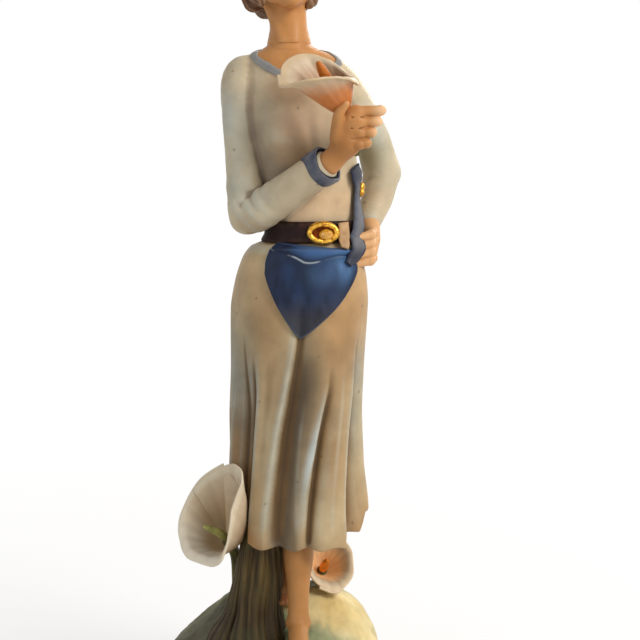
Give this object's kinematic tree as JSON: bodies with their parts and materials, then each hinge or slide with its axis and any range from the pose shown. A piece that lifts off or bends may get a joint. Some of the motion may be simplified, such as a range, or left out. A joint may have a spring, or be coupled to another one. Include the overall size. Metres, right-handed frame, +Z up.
{
  "type": "resin lady figurine",
  "caption": "Standing lady figurine in painted resin, in a long cream dress with a blue hip scarf, a hand on the hip and a calla lily held at the chest, on a mossy ground mound.",
  "frame": {"origin": "centre of the flat underside of the base, on the felt pad", "axes": "+Z up the figure, -Y towards the viewer, +X to the viewer's right"},
  "size_m": [0.0728, 0.0668, 0.2311],
  "materials": {
    "cream_dress_paint": "painted cast resin, cream with a peach and grey-blue wash, satin",
    "skin_paint": "painted cast resin, warm skin tone, satin",
    "brown_hair_paint": "painted cast resin, brown, satin",
    "grey_blue_trim_paint": "painted cast resin, dark grey-blue, satin",
    "deep_blue_scarf_paint": "painted cast resin, deep blue with lighter dry brushing, satin",
    "brown_belt_paint": "painted cast resin, dark brown, satin",
    "gold_leaf": "bright gold",
    "amber_stone": "clear amber resin stone, polished",
    "ivory_petal_paint": "painted cast resin, ivory with a pearl glaze",
    "orange_spadix_paint": "painted cast resin, orange",
    "stem_green_paint": "painted cast resin, olive green",
    "mossy_ground_paint": "painted cast resin, moss green to ochre, dry brushed",
    "olive_clump_paint": "painted cast resin, dark olive brown",
    "green_felt": "pressed felt",
    "steel_pin": "bare drawn wire"
  },
  "bodies": {
    "root": {"skirt": "cream_dress_paint", "bodice": "cream_dress_paint", "right_sleeve": "cream_dress_paint", "left_sleeve": "cream_dress_paint", "belt_tongue": "cream_dress_paint", "head": "skin_paint", "front_leg": "skin_paint", "rear_leg": "skin_paint", "right_hand": "skin_paint", "left_hand": "skin_paint", "hair": "brown_hair_paint", "collar_trim": "grey_blue_trim_paint", "right_cuff": "grey_blue_trim_paint", "side_sash": "grey_blue_trim_paint", "hip_scarf": "deep_blue_scarf_paint", "belt": "brown_belt_paint", "buckle_frame": "gold_leaf", "sash_clasp": "gold_leaf", "buckle_stone": "amber_stone", "held_lily_spathe": "ivory_petal_paint", "low_lily_spathe": "ivory_petal_paint", "rear_lily_spathe": "ivory_petal_paint", "held_lily_spadix": "orange_spadix_paint", "low_lily_spadix": "orange_spadix_paint", "rear_lily_spadix": "orange_spadix_paint", "held_lily_stem": "stem_green_paint", "low_lily_stem": "stem_green_paint", "rear_lily_stem": "stem_green_paint", "ground_mound": "mossy_ground_paint", "leaf_clump": "olive_clump_paint", "felt_pad": "green_felt", "leg_rod": "steel_pin", "waist_pin": "steel_pin", "neck_pin": "steel_pin", "right_arm_pin": "steel_pin", "left_arm_pin": "steel_pin", "clump_pin": "steel_pin"}
  },
  "joints": []
}
